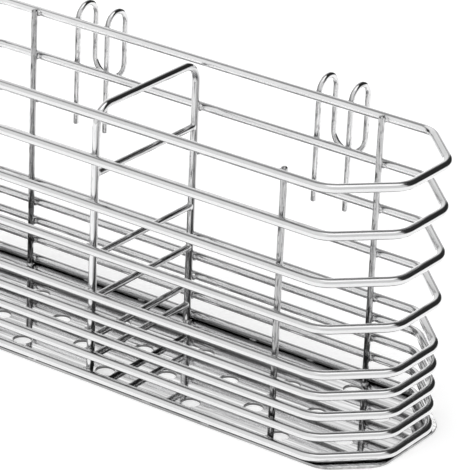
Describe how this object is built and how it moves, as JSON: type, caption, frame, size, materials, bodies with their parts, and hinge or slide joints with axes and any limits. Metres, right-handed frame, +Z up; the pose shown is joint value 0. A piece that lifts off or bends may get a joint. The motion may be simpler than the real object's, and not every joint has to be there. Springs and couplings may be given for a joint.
{
  "type": "cutlery drainer",
  "caption": "Long welded wire basket with a punched base plate, a divider and hooks, for draining cutlery on a rail or a worktop.",
  "frame": {"origin": "bottom centre of the whole footprint, hooks included, on the plane the base plate stands on", "axes": "+X along the basket to its right end, +Y to the back, where the hooks are, +Z up"},
  "size_m": [0.2812, 0.0976, 0.1314],
  "materials": {
    "ring_wire": "polished stainless steel wire",
    "upright_wire": "polished stainless steel wire",
    "divider_wire": "polished stainless steel wire",
    "rung_wire": "polished stainless steel wire",
    "hook_wire": "polished stainless steel wire",
    "plate_sheet": "finely brushed stainless steel sheet"
  },
  "bodies": {
    "root": {"top_ring": "ring_wire", "side_ring_1": "ring_wire", "side_ring_2": "ring_wire", "side_ring_3": "ring_wire", "side_ring_4": "ring_wire", "low_ring_1": "ring_wire", "low_ring_2": "ring_wire", "low_ring_3": "ring_wire", "base_ring": "ring_wire", "upright_front_left": "upright_wire", "upright_front_right": "upright_wire", "upright_back_left": "upright_wire", "upright_back_right": "upright_wire", "divider_frame": "divider_wire", "divider_rung_1": "rung_wire", "divider_rung_2": "rung_wire", "divider_rung_3": "rung_wire", "divider_rung_4": "rung_wire", "divider_rung_5": "rung_wire", "hook_left": "hook_wire", "hook_right": "hook_wire", "base_plate": "plate_sheet"}
  },
  "joints": []
}
